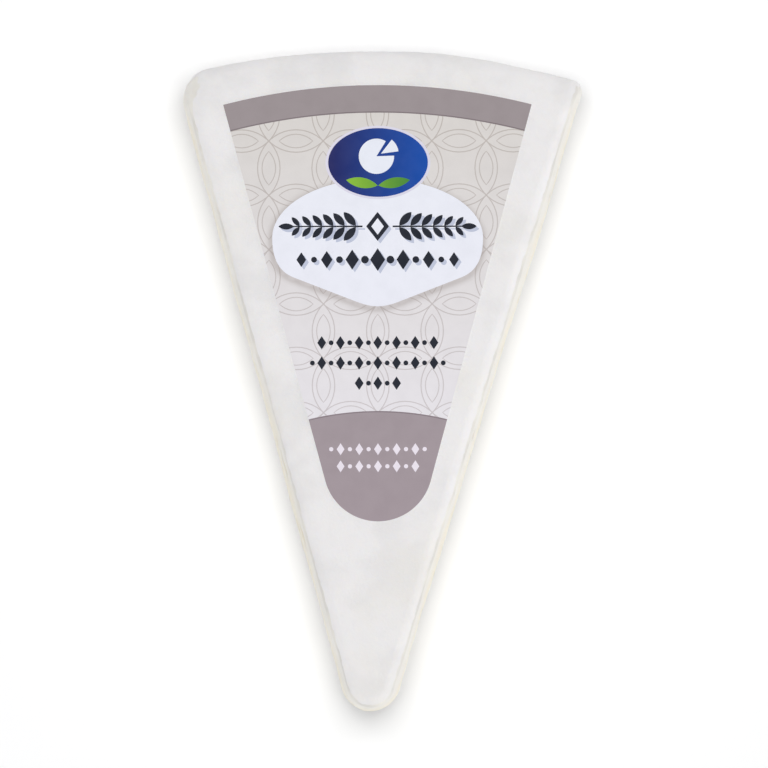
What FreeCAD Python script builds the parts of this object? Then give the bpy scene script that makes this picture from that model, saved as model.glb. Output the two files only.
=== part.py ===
import FreeCAD, Part
import math
import os

# A portion of soft white-rind cheese, cut from a low round wheel, with a paper label on its top.
# The wheel's centre is worked at (0, 0), with the portion's own axis along +Y from the pointed
# end to the rind at the back. Both pieces are then moved so that the origin is at the centre of
# the portion's box, on its underside.

# Driving dimensions, in millimetres and degrees.
wheel_radius = 142.9  # from the wheel's centre to its rim, at half height
height = 33.0
wedge_angle = 32.25  # between the two cut faces
tip_radius = 5.8  # how blunt the pointed end is, at half height
left_corner_radius = 6.0  # upright corner of cut face and rind, softer on the left
right_corner_radius = 2.2
shoulder_radius = 5.0  # where the rim rolls over to the top and to the underside
rim_bulge = 0.6  # how far the rim stands out at half height
cut_edge_radius = 2.0  # where a cut face meets the top and the underside
cut_bulge = 1.4  # how far the soft paste pushes the cut faces out at half height
shoulder_steps = 6  # outlines that draw each rolled edge
wall_steps = 4  # outlines between the two rolled edges

label_thickness = 0.2
label_taper = 2.05  # how much narrower the label's angle is than the portion's
label_side_gap = 7.6  # from the left cut face, which the label's left side runs along
label_rim_clearance = 1.3  # from the flat of the top to the label's wide end
label_apex_rise = 22.2  # from the wheel's centre to where the label's sides would meet
label_arc_drop = 5.6  # from there back to the centre of the wide end's arc
label_end_radius = 10.5  # round, narrow end

# Values that follow from those above.
half_height = height / 2
half_angle = math.radians(wedge_angle / 2)
label_half_angle = math.radians((wedge_angle - label_taper) / 2)
label_turn = half_angle - label_half_angle
label_rim_gap = shoulder_radius + rim_bulge + label_rim_clearance


def inset(level, bulge, edge_radius):
    """How far a wall stands back, at a height, from where it is at half height."""
    from_middle = abs(level - half_height)
    into_edge = max(0.0, from_middle - (half_height - edge_radius))
    rolled = edge_radius - math.sqrt(max(0.0, edge_radius**2 - into_edge**2))
    return bulge * (from_middle / half_height) ** 2 + rolled


def polar(radius, angle):
    """A point at an angle from +Y, positive towards +X."""
    return radius * math.sin(angle), radius * math.cos(angle)


def arc(centre, radius, first, last, level):
    """An arc about a centre between two angles from +Y, at a height."""
    points = []
    for angle in (first, (first + last) / 2, last):
        x, y = polar(radius, angle)
        points.append(FreeCAD.Vector(centre[0] + x, centre[1] + y, level))
    return Part.Arc(*points).toShape()


def joined(arcs):
    """A closed wire of the arcs, with straight lines across the gaps between them."""
    edges = []
    for index, edge in enumerate(arcs):
        start = arcs[index - 1].lastVertex(True).Point
        end = edge.firstVertex(True).Point
        if start.distanceToPoint(end) > 1e-6:
            edges.append(Part.makeLine(start, end))
        edges.append(edge)
    return Part.Wire(Part.__sortEdges__(edges))


def cheese_outline(level):
    """The portion's outline at a height: rounded tip, two cut faces, two corners and the rim."""
    side = inset(level, cut_bulge, cut_edge_radius)
    rim = wheel_radius - inset(level, rim_bulge, shoulder_radius)
    left_turn = math.asin((left_corner_radius + side) / (rim - left_corner_radius))
    left = left_turn - half_angle
    right_turn = math.asin((right_corner_radius + side) / (rim - right_corner_radius))
    right = half_angle - right_turn
    tip_centre = (0.0, tip_radius / math.sin(half_angle))
    outward = math.pi / 2 + half_angle  # the way that the right cut face looks
    arcs = [
        arc(tip_centre, tip_radius - side, 2 * math.pi - outward, outward, level),
        arc(polar(rim - right_corner_radius, right), right_corner_radius, outward, right, level),
        arc((0.0, 0.0), rim, right, left, level),
        arc(polar(rim - left_corner_radius, left), left_corner_radius, left, -outward, level),
    ]
    return joined(arcs)


def cheese_levels():
    """Heights of the outlines: close together where the edges roll over, wide apart between."""
    rolled = []
    for step in range(shoulder_steps + 1):
        rolled.append(shoulder_radius * (1 - math.cos(math.pi / 2 * step / shoulder_steps)))
    wall = []
    for step in range(1, wall_steps):
        wall.append(shoulder_radius + (height - 2 * shoulder_radius) * step / wall_steps)
    return rolled + wall + [height - level for level in reversed(rolled)]


def make_cheese():
    """One solid through all the outlines, flat on the underside and on top."""
    outlines = [cheese_outline(level) for level in cheese_levels()]
    return Part.makeLoft(outlines, True, False)


def label_place():
    """Where the label's sides would meet, measured from the wheel's centre."""
    across = (label_side_gap - label_apex_rise * math.sin(half_angle)) / math.cos(half_angle)
    return across, label_apex_rise


def make_label():
    """A sheet of paper on the flat top: an arc at the wide end, a round narrow end."""
    wide_radius = wheel_radius - label_rim_gap - label_apex_rise + label_arc_drop
    beyond = math.asin(label_arc_drop * math.sin(label_half_angle) / wide_radius)
    wide_half = label_half_angle - beyond
    outward = math.pi / 2 + label_half_angle
    end_centre = (0.0, label_end_radius / math.sin(label_half_angle))
    arcs = [
        arc((0.0, -label_arc_drop), wide_radius, wide_half, -wide_half, height),
        arc(end_centre, label_end_radius, -outward, outward - 2 * math.pi, height),
    ]
    sheet = Part.Face(joined(arcs)).extrude(FreeCAD.Vector(0, 0, label_thickness))
    sheet.rotate(FreeCAD.Vector(0, 0, 0), FreeCAD.Vector(0, 0, 1), math.degrees(label_turn))
    across, rise = label_place()
    sheet.translate(FreeCAD.Vector(across, rise, 0))
    return sheet


box = cheese_outline(half_height).BoundBox
to_origin = FreeCAD.Vector(-(box.XMin + box.XMax) / 2, -(box.YMin + box.YMax) / 2, 0)

os.makedirs("parts", exist_ok=True)
for name, shape in {"cheese": make_cheese(), "label": make_label()}.items():
    shape.translate(to_origin)
    shape.exportStep("parts/" + name + ".step")
    print(name, "valid", shape.isValid(), "solids", len(shape.Solids), "volume", round(shape.Volume, 1))
    low = [round(value, 3) for value in (shape.BoundBox.XMin, shape.BoundBox.YMin, shape.BoundBox.ZMin)]
    high = [round(value, 3) for value in (shape.BoundBox.XMax, shape.BoundBox.YMax, shape.BoundBox.ZMax)]
    print("    box", low, high)
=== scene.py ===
# %% [markdown]
# # A wedge of white-rind brie with a paper label
# A portion cut from a low, round wheel of soft cheese. Velvety white rind covers the top, the
# underside and the back; the two long sides are bare paste, where the knife went through. A thin
# printed label lies on the flat top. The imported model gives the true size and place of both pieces,
# and this notebook builds their looks around it.

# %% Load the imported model, which stays fixed
import math
import random

import bmesh
import bpy
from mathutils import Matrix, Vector, noise
from mathutils.geometry import delaunay_2d_cdt, interpolate_bezier


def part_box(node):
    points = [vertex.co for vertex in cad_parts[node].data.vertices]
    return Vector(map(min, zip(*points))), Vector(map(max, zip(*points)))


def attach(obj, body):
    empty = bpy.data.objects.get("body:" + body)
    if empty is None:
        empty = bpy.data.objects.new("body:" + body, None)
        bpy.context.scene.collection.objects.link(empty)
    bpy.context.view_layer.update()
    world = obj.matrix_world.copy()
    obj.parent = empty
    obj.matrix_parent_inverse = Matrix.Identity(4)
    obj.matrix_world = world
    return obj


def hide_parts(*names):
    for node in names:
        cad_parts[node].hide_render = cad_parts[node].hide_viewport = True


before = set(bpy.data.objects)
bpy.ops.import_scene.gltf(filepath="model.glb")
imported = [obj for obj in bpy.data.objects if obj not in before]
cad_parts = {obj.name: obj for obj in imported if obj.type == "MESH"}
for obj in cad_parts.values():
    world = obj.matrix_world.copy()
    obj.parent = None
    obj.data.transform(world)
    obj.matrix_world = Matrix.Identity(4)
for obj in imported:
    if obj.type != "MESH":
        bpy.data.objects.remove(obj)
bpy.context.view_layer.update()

mm = 0.001

# %% [markdown]
# ## The size of the portion
# A cheese portion is a slice of a circle, so a few sizes describe it: the wheel's radius, the angle
# between the cuts, the height, and how far the edges roll over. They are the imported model's own
# sizes. Where the wheel's centre lies follows from the model's box: the rim touches its far side.

# %% Sizes of the cheese, and the wheel's centre
low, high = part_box("cheese")
height = high.z
wheel_radius = 142.9 * mm
half_angle = math.radians(32.25 / 2)
tip_radius = 5.8 * mm
left_corner_radius = 6.0 * mm
right_corner_radius = 2.2 * mm
shoulder_radius = 5.0 * mm
rim_bulge = 0.6 * mm
cut_edge_radius = 2.0 * mm
cut_bulge = 1.4 * mm
rind_thickness = 1.1 * mm

right_corner_turn = half_angle - math.asin(right_corner_radius / (wheel_radius - right_corner_radius))
reach_right = (wheel_radius - right_corner_radius) * math.sin(right_corner_turn) + right_corner_radius
wheel_centre = Vector((high.x - reach_right, high.y - wheel_radius))
print("wheel centre at", [round(value / mm, 2) for value in wheel_centre], "mm")

# %% [markdown]
# ## Camera
# The view is from straight above, as for a catalogue. A long lens from two metres keeps the upright
# sides from showing. The portion's point leans a degree to one side in that view, so the camera is
# rolled by that much, and the portion itself stays square to its own axes.


# %% Camera, straight above
def place_object(name, data):
    """A new object with its data, placed in the scene."""
    placed = bpy.data.objects.new(name, data)
    bpy.context.scene.collection.objects.link(placed)
    return placed


camera_height = 2.0
view_width = 147.9 * mm
view_centre = Vector((1.2 * mm, -0.55 * mm))
camera_roll = math.radians(0.93)
camera = place_object("camera", bpy.data.cameras.new("camera"))
camera.location = (view_centre.x, view_centre.y, camera_height)
camera.rotation_euler = (0, 0, camera_roll)
camera.data.lens = camera.data.sensor_width * (camera_height - height) / view_width
camera.data.clip_end = 20
bpy.context.scene.camera = camera
print("lens", round(camera.data.lens), "mm")

# %% [markdown]
# ## Points along arcs and lines
# Every outline here is lines and arcs, so two helpers are enough. Angles are measured from +Y, the
# portion's own axis, and grow towards +X. Each helper leaves its last point to the next stretch.


# %% Helpers for outlines
def polar(radius, angle):
    """A point at an angle from +Y."""
    return Vector((radius * math.sin(angle), radius * math.cos(angle)))


def arc(centre, radius, first, last, count):
    """Points along an arc, without its last one."""
    centre = Vector(centre)
    return [centre + polar(radius, first + (last - first) * step / count) for step in range(count)]


def line(start, end, count):
    """Points along a straight line, without its last one."""
    return [start.lerp(end, step / count) for step in range(count)]


# %% [markdown]
# ## The cheese as a stack of outlines
# The solid could be carved from a wheel with two cuts. A stack of outlines, one for each height, is
# easier to shape: at every height the cut faces and the rim stand back by their own amounts, which
# draws the rolled edges and the soft bulge of the paste. Each outline has the same number of
# points, so a point and the one above it join up into neat four-sided faces.


# %% One outline of the cheese
tip_steps = 30
cut_steps = 262
right_corner_steps = 10
rim_steps = 96
left_corner_steps = 18


def inset(level, bulge, edge_radius):
    """How far a wall stands back, at a height, from where it is at half height."""
    half = height / 2
    from_middle = abs(level - half)
    into_edge = max(0.0, from_middle - (half - edge_radius))
    rolled = edge_radius - math.sqrt(max(0.0, edge_radius**2 - into_edge**2))
    return bulge * (from_middle / half) ** 2 + rolled


def cheese_outline(level):
    """Rounded tip, right cut face, right corner, rim, left corner and left cut face."""
    side = inset(level, cut_bulge, cut_edge_radius)
    rim = wheel_radius - inset(level, rim_bulge, shoulder_radius)
    outward = math.pi / 2 + half_angle
    tip_centre = Vector((0.0, tip_radius / math.sin(half_angle)))
    corners = []
    for radius, way in ((right_corner_radius, 1), (left_corner_radius, -1)):
        turn = way * (half_angle - math.asin((radius + side) / (rim - radius)))
        corners.append((polar(rim - radius, turn), turn))
    (right_centre, right_turn), (left_centre, left_turn) = corners
    tip = arc(tip_centre, tip_radius - side, 2 * math.pi - outward, outward, tip_steps)
    right_corner = arc(right_centre, right_corner_radius, outward, right_turn, right_corner_steps)
    rim_arc = arc((0, 0), rim, right_turn, left_turn, rim_steps)
    left_corner = arc(left_centre, left_corner_radius, left_turn, -outward, left_corner_steps)
    tip_end = tip_centre + polar(tip_radius - side, outward)
    left_end = left_centre + polar(left_corner_radius, -outward)
    right_cut = line(tip_end, right_corner[0], cut_steps)
    left_cut = line(left_end, tip[0], cut_steps)
    points = tip + right_cut + right_corner + rim_arc + left_corner + left_cut
    return [point + wheel_centre for point in points]


# %% Heights of the outlines
shoulder_rows = 16
wall_rows = 52
rolled_rows = []
for row in range(shoulder_rows):
    rolled_rows.append(shoulder_radius * (1 - math.cos(math.pi / 2 * row / shoulder_rows)))
wall_height = height - 2 * shoulder_radius
straight_rows = [shoulder_radius + wall_height * row / wall_rows for row in range(wall_rows + 1)]
levels = rolled_rows + straight_rows + [height - level for level in reversed(rolled_rows)]
print(len(levels), "outlines of", len(cheese_outline(height / 2)), "points")

# %% [markdown]
# ## Where rind ends and paste begins
# The rind is a skin of even thickness on the whole wheel, and a cut shows it edge-on as a thin pale
# line. So what a point is made of depends only on its depth below the wheel's skin. The same depth
# later draws the colours, which makes the line follow the rounded shoulder by itself.


# %% Depth below the wheel's skin
def skin_depth(point):
    """Distance from a point to the nearest of the wheel's top, underside and rim."""
    from_flat = min(point.z, height - point.z)
    from_rim = wheel_radius - (point.xy - wheel_centre).length
    flat_part = shoulder_radius - from_flat
    rim_part = shoulder_radius - from_rim
    if flat_part > 0 and rim_part > 0:
        return shoulder_radius - math.hypot(flat_part, rim_part)
    return min(from_flat, from_rim)


def unevenness(point, size, octaves=2, seed=0.0):
    """Smooth noise, about -1 to 1, whose lumps are about as wide as size."""
    place = Vector((point.x / size + seed, point.y / size - seed, point.z / size + 2 * seed))
    return noise.fractal(place, 1.0, 2.0, octaves)


# %% [markdown]
# ## Relief of rind and paste
# Rind dries on a rack, so its flat faces dip and swell by a fraction of a millimetre, with finer
# creases over that. The paste bulges unevenly, is drawn in along the rind, and has a few small
# openings. These are real moves of the mesh along its normals, because they show at grazing light;
# only what is finer than the mesh is left to a bump in the material.


# %% Relief as moves along the surface normal
def top_swell(x, y):
    """Low dips and swells of the rind's flat faces."""
    place = Vector((x, y, 0.0))
    return (0.20 * unevenness(place, 26 * mm) + 0.05 * unevenness(place, 7 * mm, seed=3.1)) * mm


opening_count = 80
opening_draw = random.Random(11)
openings = []
for _ in range(opening_count):
    side = opening_draw.choice((-1, 1))
    along = opening_draw.uniform(28, 134) * mm
    centre = wheel_centre + polar(along, side * half_angle)
    level = opening_draw.uniform(3.5, 29.5) * mm
    width = (0.32 + 0.5 * opening_draw.random() ** 3) * mm
    stretch = opening_draw.uniform(1.0, 3.2)
    lean = opening_draw.uniform(-0.5, 0.5)
    openings.append((Vector((centre.x, centre.y, level)), width, stretch, side, lean))
print(len(openings), "openings in the paste")


def opening_depth(point):
    """How deep the small openings of the cut faces are at a point."""
    deepest = 0.0
    for centre, width, stretch, side, lean in openings:
        if abs(point.z - centre.z) > 3 * width or side * (point.x - wheel_centre.x) < 0:
            continue
        across = (point.y - centre.y) / stretch
        away = math.hypot(across, point.z - centre.z - lean * (point.y - centre.y)) / width
        away += 0.25 * unevenness(point, 1.3 * mm, 1, 6.1)
        if away < 1:
            deepest = max(deepest, 0.8 * width * (1 - max(0.0, away) ** 3))
    return deepest


def knife_marks(point):
    """Faint upright ridges where the knife drew the paste down."""
    along = Vector((point.x, point.y, point.z * 0.2))
    return unevenness(along, 2.6 * mm, 2, 4.4)


def smoothstep(low_edge, high_edge, value):
    """0 below the low edge, 1 above the high edge, and a soft turn between them."""
    share = min(1.0, max(0.0, (value - low_edge) / (high_edge - low_edge)))
    return share * share * (3 - 2 * share)


def relief(point):
    """How far the surface moves outwards at a point. The strengths are in millimetres."""
    depth = skin_depth(point)
    paste = smoothstep(rind_thickness * 0.8, rind_thickness + 0.7 * mm, depth)
    on_rim = smoothstep(2 * mm, 7 * mm, min(point.z, height - point.z))
    rim_dents = 0.20 * unevenness(point, 17 * mm, 2, 1.9) + 0.08 * unevenness(point, 3 * mm, 3, 9.2)
    creases = 0.05 * unevenness(point, 4 * mm, 3, 7.7)
    rind_move = (creases + on_rim * rim_dents) * mm
    swell = 0.30 * unevenness(point, 24 * mm, 2, 5.3) + 0.06 * unevenness(point, 5 * mm, 3, 2.2)
    paste_move = (swell + 0.09 * knife_marks(point)) * mm - opening_depth(point)
    seam_share = smoothstep(-0.5, 0.6, unevenness(point, 11 * mm, 2, 8.8))
    seam = 0.15 * mm * seam_share * math.exp(-(((depth - rind_thickness) / (0.6 * mm)) ** 2))
    return (1 - paste) * rind_move + paste * paste_move - seam


# %% [markdown]
# ## Flat stretches by triangulation
# The top and the underside are flat sheets inside the first and last outline. A constrained
# triangulation fills any outline exactly, keeps every point that is given, and adds none. A light
# scatter of inner points gives the sheet something to bend with. The label uses the same helper,
# because a print of many colours is an outline filled with smaller outlines.


# %% Fill nested outlines with triangles
def fill(outlines, spacing):
    """Triangles inside the first outline. Returns the points, the triangles, the last outline that
    holds each triangle, and each point's place among the given ones, or None."""
    points = []
    places = {}
    faces = []
    for outline in outlines:
        face = []
        for point in outline:
            key = (round(point.x * 1e7), round(point.y * 1e7))
            if key not in places:
                places[key] = len(points)
                points.append(point)
            if not face or face[-1] != places[key]:
                face.append(places[key])
        faces.append(face)
    edge = outlines[0]
    lowest, highest = min(point.y for point in edge), max(point.y for point in edge)
    for row in range(1, int((highest - lowest) / spacing)):
        y = lowest + row * spacing
        crossings = []
        for start, end in zip(edge, edge[1:] + edge[:1]):
            if (start.y <= y) != (end.y <= y):
                crossings.append(start.x + (end.x - start.x) * (y - start.y) / (end.y - start.y))
        left, right = min(crossings), max(crossings)
        columns = max(1, round((right - left) / spacing))
        shift = 0.25 if row % 2 else -0.25
        for column in range(1, columns):
            share = (column + shift) / columns
            points.append(Vector((left + (right - left) * share, y)))
    keep_inside = 1
    nearest_apart = 1e-7
    filled = delaunay_2d_cdt(points, [], faces, keep_inside, nearest_apart, True)
    made, _, triangles, sources, _, owners = filled
    kept = [(t, max(own)) for t, own in zip(triangles, owners) if 0 in own]
    given = [min(source) if source else None for source in sources]
    return made, [t for t, _ in kept], [last for _, last in kept], given


# %% [markdown]
# ## From outlines to a solid skin
# The walls are strips of four-sided faces from each outline to the next. The triangulated top and
# underside share the points of the last and first outline, so the skin is closed. Only then are all
# points moved by the relief, each along its own normal, and the underside is kept on the ground.


# %% A finished mesh as an object
def mesh_object(name, shape, **point_values):
    """An object made from a mesh under work, with a value stored at each of its points."""
    mesh = bpy.data.meshes.new(name)
    shape.to_mesh(mesh)
    shape.free()
    for attribute, values in point_values.items():
        mesh.attributes.new(attribute, "FLOAT", "POINT").data.foreach_set("value", values)
    print(name, "mesh:", len(mesh.vertices), "points,", len(mesh.polygons), "faces")
    return place_object(name, mesh)


# %% Build the cheese mesh
flat_spacing = 0.95 * mm
rings = [[Vector((p.x, p.y, level)) for p in cheese_outline(level)] for level in levels]
around = len(rings[0])
cheese_mesh = bmesh.new()
ring_verts = [[cheese_mesh.verts.new(point) for point in ring] for ring in rings]
for lower, upper in zip(ring_verts, ring_verts[1:]):
    for step in range(around):
        following = (step + 1) % around
        cheese_mesh.faces.new((lower[step], lower[following], upper[following], upper[step]))
for ring, level, upward in ((ring_verts[-1], height, True), (ring_verts[0], 0.0, False)):
    made, triangles, _, given = fill([[vert.co.xy for vert in ring]], flat_spacing)
    sheet_verts = []
    for point, source in zip(made, given):
        on_ring = source is not None and source < around
        sheet_verts.append(ring[source] if on_ring else cheese_mesh.verts.new((point.x, point.y, level)))
    for triangle in triangles:
        corners = [sheet_verts[index] for index in triangle]
        cheese_mesh.faces.new(corners if upward else reversed(corners))
cheese_mesh.normal_update()
print("cheese:", len(cheese_mesh.verts), "points,", len(cheese_mesh.faces), "faces")

# %% Move the surface by its relief, and note what the material needs at each point
deep_opening = 0.6 * mm
depths = []
hollows = []
moves = []
for vert in cheese_mesh.verts:
    point = vert.co
    depths.append(max(0.0, skin_depth(point)) / mm)
    # how deep each opening is, which drives the painted shade inside it
    hollows.append(min(1.0, opening_depth(point) / deep_opening) if depths[-1] > 1 else 0.0)
    move = relief(point) * vert.normal
    flatness = smoothstep(0.75, 0.98, abs(vert.normal.z))
    if vert.normal.z > 0:
        move.z += flatness * top_swell(point.x, point.y)
    moves.append(move)
for vert, move in zip(cheese_mesh.verts, moves):
    vert.co += move
    vert.co.z = max(0.0, vert.co.z)
cheese = mesh_object("brie_wedge", cheese_mesh, depth=depths, opening=hollows)
cheese.data.polygons.foreach_set("use_smooth", [True] * len(cheese.data.polygons))
print("relief up to", round(max(move.length for move in moves) / mm, 2), "mm")

# %% [markdown]
# ## Shader groups
# An effect that several materials need is built once, as a node group with named inputs, and
# placed in each material with its own values. One helper makes a group's sockets, one links or
# sets a node's inputs, and the others make a node, a group's copy or a mix.


# %% Helpers for nodes
surface_outputs = {"Color": "NodeSocketColor", "Roughness": "NodeSocketFloat", "Height": "NodeSocketFloat"}


def socket_kind(value):
    """The kind of socket for a number, a vector of three numbers or a colour of four."""
    if isinstance(value, float):
        return "NodeSocketFloat"
    return "NodeSocketVector" if len(value) == 3 else "NodeSocketColor"


def new_group(name, inputs, outputs):
    """An empty node group with its sockets, and its input and output nodes."""
    tree = bpy.data.node_groups.new(name, "ShaderNodeTree")
    for socket, value in inputs.items():
        kind = socket_kind(value)
        tree.interface.new_socket(socket, in_out="INPUT", socket_type=kind).default_value = value
    for socket, kind in outputs.items():
        tree.interface.new_socket(socket, in_out="OUTPUT", socket_type=kind)
    return tree, tree.nodes.new("NodeGroupInput"), tree.nodes.new("NodeGroupOutput")


def feed(tree, node, inputs):
    """Links each named input of a node to a socket, or sets it to a value."""
    for name, value in dict(inputs).items():
        if isinstance(value, bpy.types.NodeSocket):
            tree.links.new(value, node.inputs[name])
        else:
            node.inputs[name].default_value = value


def add(tree, kind, inputs=(), **settings):
    """A node with its settings and its inputs."""
    node = tree.nodes.new(kind)
    for name, value in settings.items():
        setattr(node, name, value)
    feed(tree, node, inputs)
    return node


def place_group(tree, group, inputs=()):
    """A copy of a group in a tree, with its own values."""
    return add(tree, "ShaderNodeGroup", inputs, node_tree=group)


def math_node(tree, operation, first, second):
    """The result of one sum."""
    return add(tree, "ShaderNodeMath", {0: first, 1: second}, operation=operation).outputs[0]


def blend_colours(tree, share, first, second):
    """A mix of two colours: all of the first at 0, all of the second at 1."""
    factor, first_colour, second_colour, result = 0, 6, 7, 2
    inputs = {factor: share, first_colour: first, second_colour: second}
    return add(tree, "ShaderNodeMix", inputs, data_type="RGBA").outputs[result]


def lay_over(tree, below, above, mask, strength):
    """A colour laid over another where a mask shows it, at a given strength."""
    return blend_colours(tree, math_node(tree, "MULTIPLY", mask, strength), below, above)


def shifted(tree, value, mask, change):
    """A value that moves by a change where a mask shows it."""
    return math_node(tree, "ADD", value, math_node(tree, "MULTIPLY", mask, change))


def ranged(tree, value, from_low, from_high, to_low=0.0, to_high=1.0):
    """A value carried softly from one range to another."""
    inputs = {"Value": value, "From Min": from_low, "From Max": from_high}
    inputs.update({"To Min": to_low, "To Max": to_high})
    return add(tree, "ShaderNodeMapRange", inputs, interpolation_type="SMOOTHSTEP").outputs["Result"]


def colour(red, green, blue):
    """A colour as a screen shows it, 0 to 255, turned into light."""
    shares = []
    for value in (red, green, blue):
        share = value / 255
        shares.append(share / 12.92 if share <= 0.04045 else ((share + 0.055) / 1.055) ** 2.4)
    return (*shares, 1.0)


# %% [markdown]
# ## Clouds and grain
# Almost nothing on food or paper is one flat colour. *Clouds* is a soft blotchy mask of a chosen
# size in millimetres, used for the mould's patches, the paste's marbling and the uneven ink.
# *Grain* is a fine height for the bump: the rind's fuzz, the knife's drag and the paper's fibre.

# %% Group: clouds
clouds, clouds_in, clouds_out = new_group(
    "clouds", {"Size mm": 10.0, "Detail": 3.0, "Low": 0.4, "High": 0.6}, {"Mask": "NodeSocketFloat"}
)
place = add(clouds, "ShaderNodeTexCoord").outputs["Object"]
per_metre = math_node(clouds, "DIVIDE", 1000.0, clouds_in.outputs["Size mm"])
blotch = {"Vector": place, "Scale": per_metre, "Detail": clouds_in.outputs["Detail"], "Roughness": 0.55}
blotches = add(clouds, "ShaderNodeTexNoise", blotch)
mask = ranged(clouds, blotches.outputs["Fac"], clouds_in.outputs["Low"], clouds_in.outputs["High"])
feed(clouds, clouds_out, {"Mask": mask})


def cloud_mask(tree, size, detail, low, high):
    """The mask from a copy of the clouds group. The size is in millimetres."""
    values = {"Size mm": size, "Detail": detail, "Low": low, "High": high}
    return place_group(tree, clouds, values).outputs["Mask"]


# %% Group: grain
grain_values = {"Size mm": 0.5, "Coarse share": 0.5, "Stretch": (1.0, 1.0, 1.0)}
grain, grain_in, grain_out = new_group("grain", grain_values, {"Height": "NodeSocketFloat"})
place = add(grain, "ShaderNodeTexCoord").outputs["Object"]
factors = {0: place, 1: grain_in.outputs["Stretch"]}
stretched = add(grain, "ShaderNodeVectorMath", factors, operation="MULTIPLY").outputs[0]
per_metre = math_node(grain, "DIVIDE", 1000.0, grain_in.outputs["Size mm"])
fine = add(grain, "ShaderNodeTexNoise", {"Vector": stretched, "Scale": per_metre, "Detail": 4.0})
coarse_scale = math_node(grain, "MULTIPLY", per_metre, 0.22)
coarse = add(grain, "ShaderNodeTexNoise", {"Vector": stretched, "Scale": coarse_scale, "Detail": 2.0})
both = shifted(grain, fine.outputs["Fac"], coarse.outputs["Fac"], grain_in.outputs["Coarse share"])
feed(grain, grain_out, {"Height": both})
print("groups:", [group.name for group in bpy.data.node_groups])

# %% [markdown]
# ## Rind
# The bloom is a felt of white mould: matte, nearly neutral, with soft grey patches where it is
# thinner and a faint warm tint where the cheese shows through. The group gives a colour, a
# roughness and a height, so that the shader itself can stay in the material.

# %% Group: bloomy rind
rind_colours = {
    "Bloom": colour(238, 236, 236),
    "Thin patches": colour(227, 225, 225),
    "Warm patches": colour(236, 233, 227),
}
rind, rind_in, rind_out = new_group("bloomy_rind", rind_colours, surface_outputs)
thin = cloud_mask(rind, size=11.0, detail=4.0, low=0.42, high=0.66)
warm = cloud_mask(rind, size=26.0, detail=2.0, low=0.48, high=0.70)
speckle = cloud_mask(rind, size=1.6, detail=3.0, low=0.52, high=0.74)
patched = lay_over(rind, rind_in.outputs["Bloom"], rind_in.outputs["Thin patches"], thin, 0.65)
warmed = lay_over(rind, patched, rind_in.outputs["Warm patches"], warm, 0.55)
speckled = lay_over(rind, warmed, rind_in.outputs["Thin patches"], speckle, 0.16)
fuzz = place_group(rind, grain, {"Size mm": 0.55, "Coarse share": 1.3})
rind_roughness = shifted(rind, 0.92, thin, -0.12)
rind_look = {"Color": speckled, "Roughness": rind_roughness, "Height": fuzz.outputs["Height"]}
feed(rind, rind_out, rind_look)
print("rind:", len(rind.nodes), "nodes")

# %% [markdown]
# ## Paste
# Ripe paste is pale cream and slightly moist: chalky white just under the rind, deeper in tone and
# marbled towards its middle. A faint darker line, broken here and there, lies where the two meet: partly
# the paste's own line under the rind, partly painted shade of the crease there. The depth stored on
# the mesh drives all three, so they follow the rind round every corner.

# %% Group: soft paste
paste_values = {
    "Depth mm": 5.0,
    "Opening shade": 0.0,
    "Middle": colour(239, 232, 215),
    "Under rind": colour(235, 232, 225),
    "Rind line and crease shade": colour(219, 216, 211),
    "Marbling": colour(236, 227, 203),
    # painted shade inside the small openings, deeper where a hollow is deeper
    "Shade in openings": colour(218, 200, 154),
}
paste, paste_in, paste_out = new_group("soft_paste", paste_values, surface_outputs)
drift = cloud_mask(paste, size=13.0, detail=4.0, low=0.3, high=0.7)
drifted_depth = shifted(paste, paste_in.outputs["Depth mm"], drift, 7.0)
towards_middle = ranged(paste, drifted_depth, 6.0, 17.0)
ripe = blend_colours(paste, towards_middle, paste_in.outputs["Under rind"], paste_in.outputs["Middle"])
# The line under the rind: partly the paste's own, partly painted shade of the crease beside it.
rind_near = ranged(paste, paste_in.outputs["Depth mm"], 1.4, 3.0, 1.0, 0.0)
broken = cloud_mask(paste, size=9.0, detail=3.0, low=0.35, high=0.62)
lined_and_shaded = lay_over(paste, ripe, paste_in.outputs["Rind line and crease shade"], rind_near, broken)
marble = cloud_mask(paste, size=8.0, detail=4.0, low=0.45, high=0.75)
inner_marble = math_node(paste, "MULTIPLY", marble, towards_middle)
marbled = lay_over(paste, lined_and_shaded, paste_in.outputs["Marbling"], inner_marble, 0.65)
# painted shade: the openings turn darker and yellower with their depth
shaded_openings = lay_over(paste, marbled, paste_in.outputs["Shade in openings"], paste_in.outputs["Opening shade"], 0.8)
drag = place_group(paste, grain, {"Size mm": 0.8, "Coarse share": 1.0, "Stretch": (1.0, 1.0, 0.3)})
paste_roughness = shifted(paste, 0.50, marble, -0.14)
paste_look = {"Color": shaded_openings, "Roughness": paste_roughness, "Height": drag.outputs["Height"]}
feed(paste, paste_out, paste_look)
print("paste:", len(paste.nodes), "nodes")

# %% [markdown]
# ## The cheese's material
# One material covers the whole solid. A mask made from the depth turns rind into paste, and a
# little noise keeps that line from looking ruled. Both are soft and let light in a short way,
# which a small amount of subsurface scattering gives.


# %% A material with its shader
def new_material(name):
    """A material, its tree and its Principled shader."""
    material = bpy.data.materials.new(name)
    material.use_nodes = True
    return material, material.node_tree, material.node_tree.nodes["Principled BSDF"]


def finish_surface(tree, shader, base, roughness, height_socket, bump_depth):
    """Colour, roughness and bump into the shader. The bump's depth is in metres."""
    bump = add(tree, "ShaderNodeBump", {"Height": height_socket, "Distance": bump_depth, "Strength": 1.0})
    feed(tree, shader, {"Base Color": base, "Roughness": roughness, "Normal": bump.outputs["Normal"]})


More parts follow.
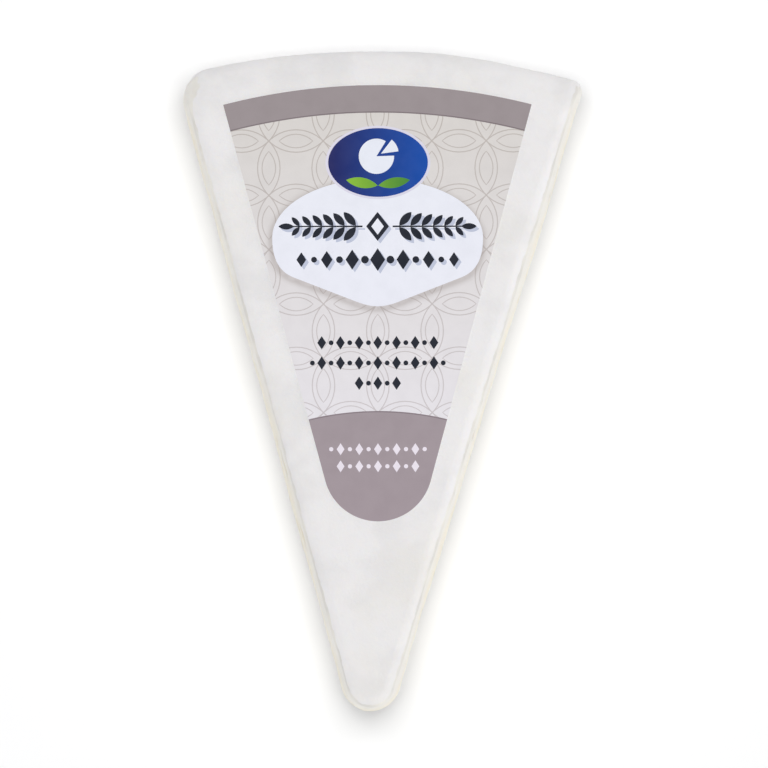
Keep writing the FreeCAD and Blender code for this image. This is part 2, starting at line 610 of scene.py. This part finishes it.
# %% Material: cheese
cheese_material, tree, shader = new_material("rind_and_paste")
depth = add(tree, "ShaderNodeAttribute", attribute_name="depth").outputs["Fac"]
wobble = cloud_mask(tree, size=2.5, detail=3.0, low=0.3, high=0.7)
uneven_depth = shifted(tree, depth, wobble, 0.35)
is_paste = ranged(tree, uneven_depth, rind_thickness / mm, rind_thickness / mm + 0.25)
rind_look = place_group(tree, rind)
# the openings' depth, for their painted shade
opening = add(tree, "ShaderNodeAttribute", attribute_name="opening").outputs["Fac"]
paste_look = place_group(tree, paste, {"Depth mm": depth, "Opening shade": opening})
base = blend_colours(tree, is_paste, rind_look.outputs["Color"], paste_look.outputs["Color"])
mixed = {}
for output in ("Roughness", "Height"):
    inputs = {"Factor": is_paste, "A": rind_look.outputs[output], "B": paste_look.outputs[output]}
    mixed[output] = add(tree, "ShaderNodeMix", inputs).outputs["Result"]
fuzz_height = 0.09 * mm
finish_surface(tree, shader, base, mixed["Roughness"], mixed["Height"], fuzz_height)
feed(tree, shader, {"Subsurface Weight": 0.15, "Subsurface Scale": 1.2 * mm})
feed(tree, shader, {"Subsurface Radius": (1.0, 0.8, 0.55), "Specular IOR Level": 0.35})
cheese.data.materials.append(cheese_material)
print("cheese material:", len(tree.nodes), "nodes")

# %% [markdown]
# ## The label's place
# The label is a die-cut sheet with its own narrower angle. Its left side runs along the left cut
# face, which turns it by half of the difference. Its print is laid out in millimetres from the
# point where its two sides would meet, with y towards the wide end; one function carries such a
# point onto the cheese.

# %% Sizes of the label
label_low, label_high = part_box("label")
label_thickness = label_high.z - label_low.z
narrower_by = math.radians(2.05)
label_turn = narrower_by / 2
label_side_gap = 7.6 * mm
label_apex_rise = 22.2 * mm
label_half_angle = half_angle - label_turn
label_across = (label_side_gap - label_apex_rise * math.sin(half_angle)) / math.cos(half_angle)
label_apex = wheel_centre + Vector((label_across, label_apex_rise))
print("label's sides meet at", [round(value / mm, 2) for value in label_apex], "mm")


def on_cheese(point):
    """A point of the print, in millimetres, as a place on the cheese."""
    x = point[0] * math.cos(label_turn) - point[1] * math.sin(label_turn)
    y = point[0] * math.sin(label_turn) + point[1] * math.cos(label_turn)
    return label_apex + Vector((x, y)) * mm


# %% [markdown]
# ## The print as nested outlines
# Ink on paper is flat, and its colours meet edge to edge. Films laid over each other would stand
# proud, and a picture would need a texture. Here every printed shape is an outline in one list,
# and one triangulation cuts the sheet along all of them: each triangle takes the ink of the last
# outline that holds it, as a later ink covers an earlier one.

# %% The list of printed shapes
printed = []


def print_shape(ink, points):
    """One more closed outline of an ink. The triangulation asks for anticlockwise outlines."""
    outline = [Vector((point[0], point[1])) for point in points]
    doubled_area = sum(a.x * b.y - b.x * a.y for a, b in zip(outline, outline[1:] + outline[:1]))
    printed.append((ink, outline if doubled_area > 0 else outline[::-1]))


def mirrored(half):
    """A closed outline from its left half, whose ends lie on the middle line."""
    return half + [Vector((-point[0], point[1])) for point in reversed(half) if abs(point[0]) > 1e-6]


def moved(points, x, y, angle=0.0):
    """A shape turned and moved to a place."""
    cosine, sine = math.cos(angle), math.sin(angle)
    result = []
    for point in points:
        across = x + point[0] * cosine - point[1] * sine
        up = y + point[0] * sine + point[1] * cosine
        result.append(Vector((across, up)))
    return result


# %% [markdown]
# ## The sheet's outline
# The sheet has two straight sides, a wide arc and a round end. Its outline comes first in the list:
# it is the ground of all the other inks, and it trims whatever runs past its edge.

# %% The sheet
wide_arc_centre = Vector((0.0, -5.6))
wide_radius = 119.4
end_radius = 10.5
end_centre = Vector((0.0, end_radius / math.sin(label_half_angle)))
beyond = math.asin(-wide_arc_centre.y * math.sin(label_half_angle) / wide_radius)
wide_half = label_half_angle - beyond
outward = math.pi / 2 + label_half_angle
right_top = wide_arc_centre + polar(wide_radius, wide_half)
right_low = end_centre + polar(end_radius, outward)
left_low = Vector((-right_low.x, right_low.y))
left_top = Vector((-right_top.x, right_top.y))
sheet_outline = line(right_low, right_top, 60)
sheet_outline += arc(wide_arc_centre, wide_radius, wide_half, -wide_half, 60)
sheet_outline += line(left_top, left_low, 60)
sheet_outline += arc(end_centre, end_radius, -outward, outward - 2 * math.pi, 40)
print_shape("field", sheet_outline)
print("sheet", round(right_top.x * 2, 1), "mm wide, drawn with", len(sheet_outline), "points")

# %% [markdown]
# ## A traditional overlapping-circle pattern
# The field carries a fine line pattern. Circles whose centres lie a little closer than a diameter
# overlap into rows of pointed petals, an ornament known from tiles and textiles all over the world.
# Each line is a string of short flat strips. A smaller petal inside each one makes it richer.

# %% Fine lines of the field
line_width = 0.2
circle_radius = 7.4
pitch = circle_radius * math.sqrt(2)
field_low = 49.5
field_high = 116.0


def print_line(points, width):
    """A closed line as a string of short strips that share their corners."""
    count = len(points)
    left_side = []
    right_side = []
    for index, point in enumerate(points):
        along = (points[(index + 1) % count] - points[index - 1]).normalized()
        across = Vector((-along.y, along.x)) * width / 2
        left_side.append(point + across)
        right_side.append(point - across)
    for index in range(count):
        following = (index + 1) % count
        strip = [left_side[index], right_side[index], right_side[following], left_side[following]]
        middle = (strip[0] + strip[2]) / 2
        inside = abs(middle.x) < (middle.y + 2) * math.tan(label_half_angle)
        if inside and field_low < middle.y < field_high:
            print_shape("fine_line", strip)


def petal(length, width, count=10):
    """An upright petal about the middle, pointed at both ends: two arcs of a wide circle."""
    bend = (length**2 / 4 + width**2 / 4) / width
    reach = math.asin(length / 2 / bend)
    right_half = []
    for step in range(count + 1):
        angle = reach * (2 * step / count - 1)
        right_half.append(Vector((bend * (math.cos(angle) - 1) + width / 2, bend * math.sin(angle))))
    left_half = [Vector((-point.x, point.y)) for point in reversed(right_half)]
    return right_half + left_half[1:-1]


inner_petal = petal(0.62 * pitch, 0.25 * pitch)
inner_width = 0.9 * line_width
pattern_low = field_low - 4
for column in range(-3, 4):
    for row in range(9):
        centre = Vector(((column + 0.5) * pitch, pattern_low + row * pitch))
        print_line(arc(centre, circle_radius, 0, 2 * math.pi, 44), line_width)
        print_line(moved(inner_petal, centre.x - pitch / 2, centre.y), inner_width)
        print_line(moved(inner_petal, centre.x, centre.y - pitch / 2, math.pi / 2), inner_width)
print(len(printed), "printed shapes with the pattern")

# %% [markdown]
# ## Band and panel
# A taupe band closes the field at the wide end, and a panel does so at the round end. Both edges
# are arcs about the wide end's centre, so each is a slab that runs past the sheet's sides. They
# come after the pattern, so that they cover its loose ends, and each has a thin dark edge.


# %% Band at the wide end, panel at the round end
def slab(ink, inner_radius, outer_radius, spread):
    """A band between two arcs about the wide end's centre. The spread is half of its angle."""
    inner = arc(wide_arc_centre, inner_radius, spread, -spread, 48)
    outer = arc(wide_arc_centre, outer_radius, -spread, spread, 48)
    print_shape(ink, inner + outer)


band_edge, band_spread, past_wide_end = 114.2, 0.4, 130.0
panel_edge, panel_spread, past_round_end = 56.6, 0.5, 20.0
slab("taupe_band", band_edge, past_wide_end, band_spread)
slab("taupe_panel", past_round_end, panel_edge, panel_spread)
slab("taupe_line", band_edge - 0.1, band_edge + 0.15, band_spread)
slab("taupe_line", panel_edge - 0.2, panel_edge + 0.05, panel_spread)
print(len(printed), "printed shapes with band and panel")

# %% [markdown]
# ## Plaque
# A white plaque in the middle of the field: half an ellipse above, and sides that run down to a
# blunt nose. The soft shadow that is printed under it comes from the label's material.

# %% The plaque's outline
plaque_middle = 84.4
half_width = 20.3
upper_height = 11.4
upper_steps = 40
upper = []
for step in range(upper_steps + 1):
    angle = math.pi / 2 * step / upper_steps
    upper.append((-half_width * math.sin(angle), plaque_middle + upper_height * math.cos(angle)))
widest = (-half_width, plaque_middle)
flank = interpolate_bezier(widest, (-half_width, 80.6), (-19.2, 78.0), (-16.2, 76.8), 14)
nose = interpolate_bezier((-4.6, 72.3), (-3.2, 71.75), (-1.8, 71.25), (0, 71.2), 12)
plaque = mirrored([Vector((point[0], point[1])) for point in upper + flank[1:] + nose])
print_shape("plaque_white", plaque)
print("plaque:", len(plaque), "points")

# %% [markdown]
# ## Ornaments
# The plaque, the field and the panel each carry dark or pale marks. They are plain ornaments here:
# leafy sprigs, lozenges and dots, all made from one petal and one polygon.


# %% Small shapes
def lozenge(width, tall):
    """A four-pointed diamond."""
    corners = ((width / 2, 0), (0, tall / 2), (-width / 2, 0), (0, -tall / 2))
    return [Vector(corner) for corner in corners]


def disc(radius, tall=1.0, count=20):
    """A round spot, or an oval one whose height is its width times tall."""
    angles = [2 * math.pi * step / count for step in range(count)]
    return [Vector((radius * math.cos(angle), radius * tall * math.sin(angle))) for angle in angles]


sprig_level = 86.6


def sprigs(ink, drop):
    """Two leafy sprigs with a lozenge between them, dropped a little to the right and down."""
    level = sprig_level - drop
    for way in (-1, 1):
        for pair in range(6):
            x = way * (4.4 + 2.15 * pair) + drop
            leaf_size = 1.0 - 0.07 * pair
            for up in (-1, 1):
                leaf = petal(3.5 * leaf_size, 1.5 * leaf_size, 8)
                angle = -way * math.radians(90 - up * 48)
                middle = (x + way * 0.95 * leaf_size, level + up * 1.45 * leaf_size)
                print_shape(ink, moved(leaf, *middle, angle))
        tip_leaf = petal(3.0, 1.2, 8)
        print_shape(ink, moved(tip_leaf, way * 17.6 + drop, level, way * math.pi / 2))
        stem = [(2.9, -0.16), (16.4, -0.12), (16.4, 0.12), (2.9, 0.16)]
        print_shape(ink, [(way * x + drop, level + y) for x, y in stem])
    print_shape(ink, moved(lozenge(4.4, 5.6), drop, level))


def row_of_marks(ink, y, count, step, tall, taper=0.0, drop=0.0):
    """A row of lozenges and dots in turn about the middle line, smaller towards its ends."""
    middle = (count - 1) / 2
    for index in range(count):
        x = (index - middle) * step + drop
        size = tall * (1 - taper * abs(index - middle) / middle)
        if round(abs(index - middle)) % 2:
            print_shape(ink, moved(disc(0.18 * size), x, y))
        else:
            print_shape(ink, moved(lozenge(0.66 * size, size), x, y))


# %% Print the ornaments
for ink, drop in (("pale_shadow", 0.5), ("navy", 0.0)):
    sprigs(ink, drop)
    row_of_marks(ink, 80.2 - drop, 13, 2.45, 4.4, 0.35, drop)
print_shape("plaque_white", moved(lozenge(2.4, 3.2), 0, sprig_level))
for level, count in ((64.2, 13), (60.3, 15), (56.4, 5)):
    row_of_marks("navy", level, count, 1.8, 2.6)
for level, count in ((43.7, 11), (40.4, 9)):
    row_of_marks("panel_mark", level, count, 1.8, 2.3)
print(len(printed), "printed shapes with the ornaments")

# %% [markdown]
# ## Seal
# Above the plaque sits a small deep-blue oval seal with a pale rim. It shows the cheese itself as a
# plain sign: a round wheel seen from above, with one portion pulled out, over two green leaves.

# %% The oval seal
seal_x, seal_y = 0.1, 98.9
sign_x, sign_y = seal_x - 0.3, seal_y + 1.2
sign_radius = 3.4


def sector(radius, first, last, count):
    """A slice of a circle, with its point at the middle."""
    return [Vector((0, 0))] + arc((0, 0), radius, first, last, count) + [polar(radius, last)]


print_shape("seal_rim", moved(disc(10.1, 0.70, 72), seal_x, seal_y))
print_shape("seal_blue", moved(disc(9.6, 0.69, 72), seal_x, seal_y))
gap = math.radians(28)
way_out = math.radians(60)
wheel_sign = sector(sign_radius, way_out + gap, way_out + 2 * math.pi - gap, 40)
print_shape("seal_mark", moved(wheel_sign, sign_x, sign_y))
portion_sign = sector(sign_radius, way_out - gap * 0.8, way_out + gap * 0.8, 8)
pulled_out = moved(portion_sign, *polar(1.0, way_out))
print_shape("seal_mark", moved(pulled_out, sign_x, sign_y))
for way in (-1, 1):
    leaf = moved(petal(6.2, 2.0, 10), seal_x + way * 3.1, seal_y - 3.9, way * math.radians(100))
    print_shape("seal_green", leaf)
print(len(printed), "printed shapes")

# %% [markdown]
# ## The sheet's mesh
# The plaque's printed shadow fades over two millimetres, so the mesh needs points at that scale.
# Outlines a little larger than the plaque add them; they come right after the sheet's own outline,
# with the same ink, so that every other ink still lies over them.


# %% Cut the sheet along the print
def grown(points, by):
    """An outline moved outwards by a distance."""
    result = []
    for index, point in enumerate(points):
        along = (points[(index + 1) % len(points)] - points[index - 1]).normalized()
        result.append(point + Vector((along.y, -along.x)) * by)
    return result


def distance_to_outline(point, outline):
    """How far a point is from the nearest side of a closed outline."""
    nearest = math.inf
    for start, end in zip(outline, outline[1:] + outline[:1]):
        side = end - start
        share = min(1.0, max(0.0, (point - start).dot(side) / side.length_squared))
        nearest = min(nearest, (point - start - side * share).length)
    return nearest


shadow_drop = Vector((0.15, 0.45))
shadow_reach = 0.75 * mm
sheet_spacing = 1.0 * mm
for by in (0.35, 0.8, 1.3, 1.9):
    ring = [point - shadow_drop for point in grown(plaque, by)]
    printed.insert(1, ("field", ring))
inks = [ink for ink, _ in printed]
outlines = [[on_cheese(point) for point in points] for _, points in printed]
made, triangles, owners, _ = fill(outlines, sheet_spacing)
print("label:", len(made), "points,", len(triangles), "triangles")

# %% Raise the sheet onto the cheese, and close its edge and back
ink_names = sorted(set(inks)) + ["paper_edge"]
label_mesh = bmesh.new()


def resting(point, lift):
    """A place on the swelling top of the cheese."""
    return Vector((point.x, point.y, height + top_swell(point.x, point.y) + lift))


used = sorted({index for triangle in triangles for index in triangle})
front = {index: label_mesh.verts.new(resting(made[index], label_thickness)) for index in used}
back = {index: label_mesh.verts.new(resting(made[index], 0.0)) for index in used}
for triangle, owner in zip(triangles, owners):
    face = label_mesh.faces.new([front[index] for index in triangle])
    face.material_index = ink_names.index(inks[owner])
    face.smooth = True
    under = label_mesh.faces.new([back[index] for index in reversed(triangle)])
    under.material_index = ink_names.index("paper_edge")
front_numbers = {vert: index for index, vert in front.items()}
for edge in [edge for edge in label_mesh.edges if len(edge.link_faces) == 1]:
    if edge.verts[0] in front_numbers:
        edge.smooth = False
        loop = edge.link_loops[0]
        start, end = front_numbers[loop.vert], front_numbers[loop.link_loop_next.vert]
        rim_face = label_mesh.faces.new((front[end], front[start], back[start], back[end]))
        rim_face.material_index = ink_names.index("paper_edge")
label_mesh.verts.index_update()
shades = [0.0] * len(label_mesh.verts)
plaque_edge = [on_cheese(point - shadow_drop) for point in plaque]
for index in used:
    nearest = distance_to_outline(made[index], plaque_edge)
    shades[front[index].index] = math.exp(-((nearest / shadow_reach) ** 2))
label = mesh_object("paper_label", label_mesh, shade=shades)

# %% [markdown]
# ## Printed paper
# All inks lie on the same paper, so they share one group: a colour that changes slowly from one end
# of the label to the other, a little uneven ink, and the height of the paper's fibre. Along the label
# that change is partly the print's own fade and partly painted shade, darker at the wide end; across
# the seal it is print.

# %% Group: printed paper
paper_values = {
    "First": colour(226, 221, 222),
    "Last": colour(217, 212, 207),
    "Way": (0.0, 1.0, 0.0),
    "From mm": 0.0,
    "To mm": 100.0,
    "Uneven ink": 0.35,
    "Soft shadow": 0.0,
    "Shadow ink": colour(150, 138, 132),
}
paper, paper_in, paper_out = new_group("printed_paper", paper_values, surface_outputs)
place = add(paper, "ShaderNodeTexCoord").outputs["Object"]
measure = {0: place, 1: paper_in.outputs["Way"]}
along = add(paper, "ShaderNodeVectorMath", measure, operation="DOT_PRODUCT").outputs["Value"]
along_mm = math_node(paper, "MULTIPLY", along, 1000.0)
span = {"Value": along_mm, "From Min": paper_in.outputs["From mm"], "From Max": paper_in.outputs["To mm"]}
share = add(paper, "ShaderNodeMapRange", span).outputs["Result"]
# painted shade in part: along the label the inks run darker towards the wide end
graded = blend_colours(paper, share, paper_in.outputs["First"], paper_in.outputs["Last"])
blots = cloud_mask(paper, size=3.0, detail=5.0, low=0.35, high=0.75)
darker = add(paper, "ShaderNodeHueSaturation", {"Value": 0.92, "Color": graded}).outputs["Color"]
inked = lay_over(paper, graded, darker, blots, paper_in.outputs["Uneven ink"])
shade = add(paper, "ShaderNodeAttribute", attribute_name="shade").outputs["Fac"]
shadow_ink, strength = paper_in.outputs["Shadow ink"], paper_in.outputs["Soft shadow"]
shadowed = lay_over(paper, inked, shadow_ink, shade, strength)
fibre = place_group(paper, grain, {"Size mm": 0.25, "Coarse share": 0.6})
paper_roughness = shifted(paper, 0.48, blots, 0.08)
paper_look = {"Color": shadowed, "Roughness": paper_roughness, "Height": fibre.outputs["Height"]}
feed(paper, paper_out, paper_look)
print("printed paper:", len(paper.nodes), "nodes")

# %% Materials: one for each ink
# along the label, the darker last colours are partly print and partly painted shade at the wide end
lengthwise = {"Way": (0, 1, 0), "From mm": label_low.y / mm, "To mm": label_high.y / mm}
seal_middle = on_cheese((seal_x, seal_y)).x / mm
seal_reach = 9.0
sideways = {"Way": (1, 0, 0), "From mm": seal_middle - seal_reach, "To mm": seal_middle + seal_reach}
ink_colours = {
    "field": ((236, 233, 240), (216, 211, 206)),
    "fine_line": ((209, 203, 208), (189, 181, 174)),
    "taupe_band": ((160, 151, 153), (155, 145, 147)),
    "taupe_panel": ((163, 150, 156), (158, 148, 152)),
    "taupe_line": ((140, 127, 134), (128, 117, 120)),
    "plaque_white": ((237, 237, 247), (235, 237, 246)),
    "navy": ((26, 32, 46), (22, 27, 40)),
    "pale_shadow": ((196, 201, 220), (190, 196, 216)),
    "panel_mark": ((236, 228, 238), (233, 226, 234)),
    "seal_rim": ((222, 218, 234), (218, 216, 232)),
    "seal_blue": ((24, 30, 96), (0, 74, 168)),
    "seal_mark": ((233, 236, 246), (233, 236, 246)),
    "seal_green": ((150, 200, 50), (20, 116, 50)),
    "paper_edge": ((240, 239, 237), (236, 235, 232)),
}
soft_shadows = {"field": 0.45, "fine_line": 0.4}
fibre_height = 0.012 * mm
for ink in ink_names:
    material, tree, shader = new_material(ink)
    first, last = ink_colours[ink]
    values = {"First": colour(*first), "Last": colour(*last), "Soft shadow": soft_shadows.get(ink, 0.0)}
    values.update(sideways if ink.startswith("seal") else lengthwise)
    look = place_group(tree, paper, values).outputs
    finish_surface(tree, shader, look["Color"], look["Roughness"], look["Height"], fibre_height)
    shader.inputs["Specular IOR Level"].default_value = 0.12
    label.data.materials.append(material)
print(len(label.data.materials), "inks")

# %% [markdown]
# ## In place of the imported model's pieces
# Each mesh stands for one piece of the imported model, which is hidden. Nothing here moves, so both
# ride on the one body.

# %% Tie both pieces to the imported model
for piece, node in ((cheese, "cheese"), (label, "label")):
    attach(piece, "root")
    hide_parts(node)
    print(piece.name, "stands for", node)

# %% [markdown]
# ## Floor and light
# The portion lies on a plain white floor, under a broad soft lamp that draws a short shadow at its
# foot. Pale walls throw much light back onto the floor beside them, which would wash that shadow
# out, so the ground has an overhead lamp of its own, linked to it and stronger than the pieces' one.
# Four low lamps, linked to the pieces alone, give the upright sides their share: about twice as much
# from the right and the front. A dim sky fills the rest, and is plain white only to the camera.

# %% Floor
floor_reach = 3.0
floor_mesh = bmesh.new()
bmesh.ops.create_grid(floor_mesh, x_segments=8, y_segments=8, size=floor_reach)
floor = mesh_object("floor", floor_mesh)
floor_material, tree, shader = new_material("white_ground")
feed(tree, shader, {"Base Color": (0.91, 0.91, 0.91, 1.0), "Roughness": 0.95, "Specular IOR Level": 0.0})
floor.data.materials.append(floor_material)
print("floor:", 2 * floor_reach, "m wide")


# %% Lamps and sky
def lamp(name, place, size, share, lit):
    """A square lamp that looks at the origin and lights one collection. A share of 1 would show a
    surface that faces it in its own colour."""
    data = bpy.data.lights.new(name, "AREA")
    data.shape = "SQUARE"
    data.size = size
    distance = Vector(place).length
    data.energy = share * math.pi * distance**2 * math.pi
    holder = place_object(name, data)
    holder.location = place
    holder.rotation_euler = Vector(place).to_track_quat("Z", "Y").to_euler()
    holder.light_linking.receiver_collection = lit


on_pieces = bpy.data.collections.new("lit_pieces")
on_pieces.objects.link(cheese)
on_pieces.objects.link(label)
on_ground = bpy.data.collections.new("lit_ground")
on_ground.objects.link(floor)
overhead = (0.0, 0.11, 1.6)
overhead_size = 0.64
lamp("overhead_pieces", overhead, overhead_size, 0.56, on_pieces)
lamp("overhead_ground", overhead, overhead_size, 0.89, on_ground)
side_shares = {"right": 0.38, "front": 0.36, "left": 0.17, "back": 0.17}
side_distance, side_height, side_size = 1.3, 0.24, 0.8
for quarter, (name, share) in enumerate(side_shares.items(), start=1):
    across = polar(side_distance, quarter * math.pi / 2)
    lamp(name, (across.x, across.y, side_height), side_size, share, on_pieces)
print(len(bpy.data.lights), "lamps")

# %% Sky
world = bpy.data.worlds.new("sky")
bpy.context.scene.world = world
world.use_nodes = True
tree = world.node_tree
tree.nodes.clear()
fill_light = add(tree, "ShaderNodeBackground", {"Color": (0.97, 0.98, 1.0, 1.0), "Strength": 0.26})
backdrop = add(tree, "ShaderNodeBackground", {"Color": (1.0, 1.0, 1.0, 1.0), "Strength": 1.0})
rays = add(tree, "ShaderNodeLightPath")
direct = math_node(tree, "MAXIMUM", rays.outputs["Is Camera Ray"], rays.outputs["Is Transmission Ray"])
either = add(tree, "ShaderNodeMixShader", {0: direct, 1: fill_light.outputs[0], 2: backdrop.outputs[0]})
add(tree, "ShaderNodeOutputWorld", {"Surface": either.outputs[0]})
print("sky:", len(tree.nodes), "nodes")

# %% [markdown]
# ## Colours as written
# The standard view transform shows colours as written.

# %% Show colours as written
bpy.context.scene.view_settings.view_transform = "Standard"
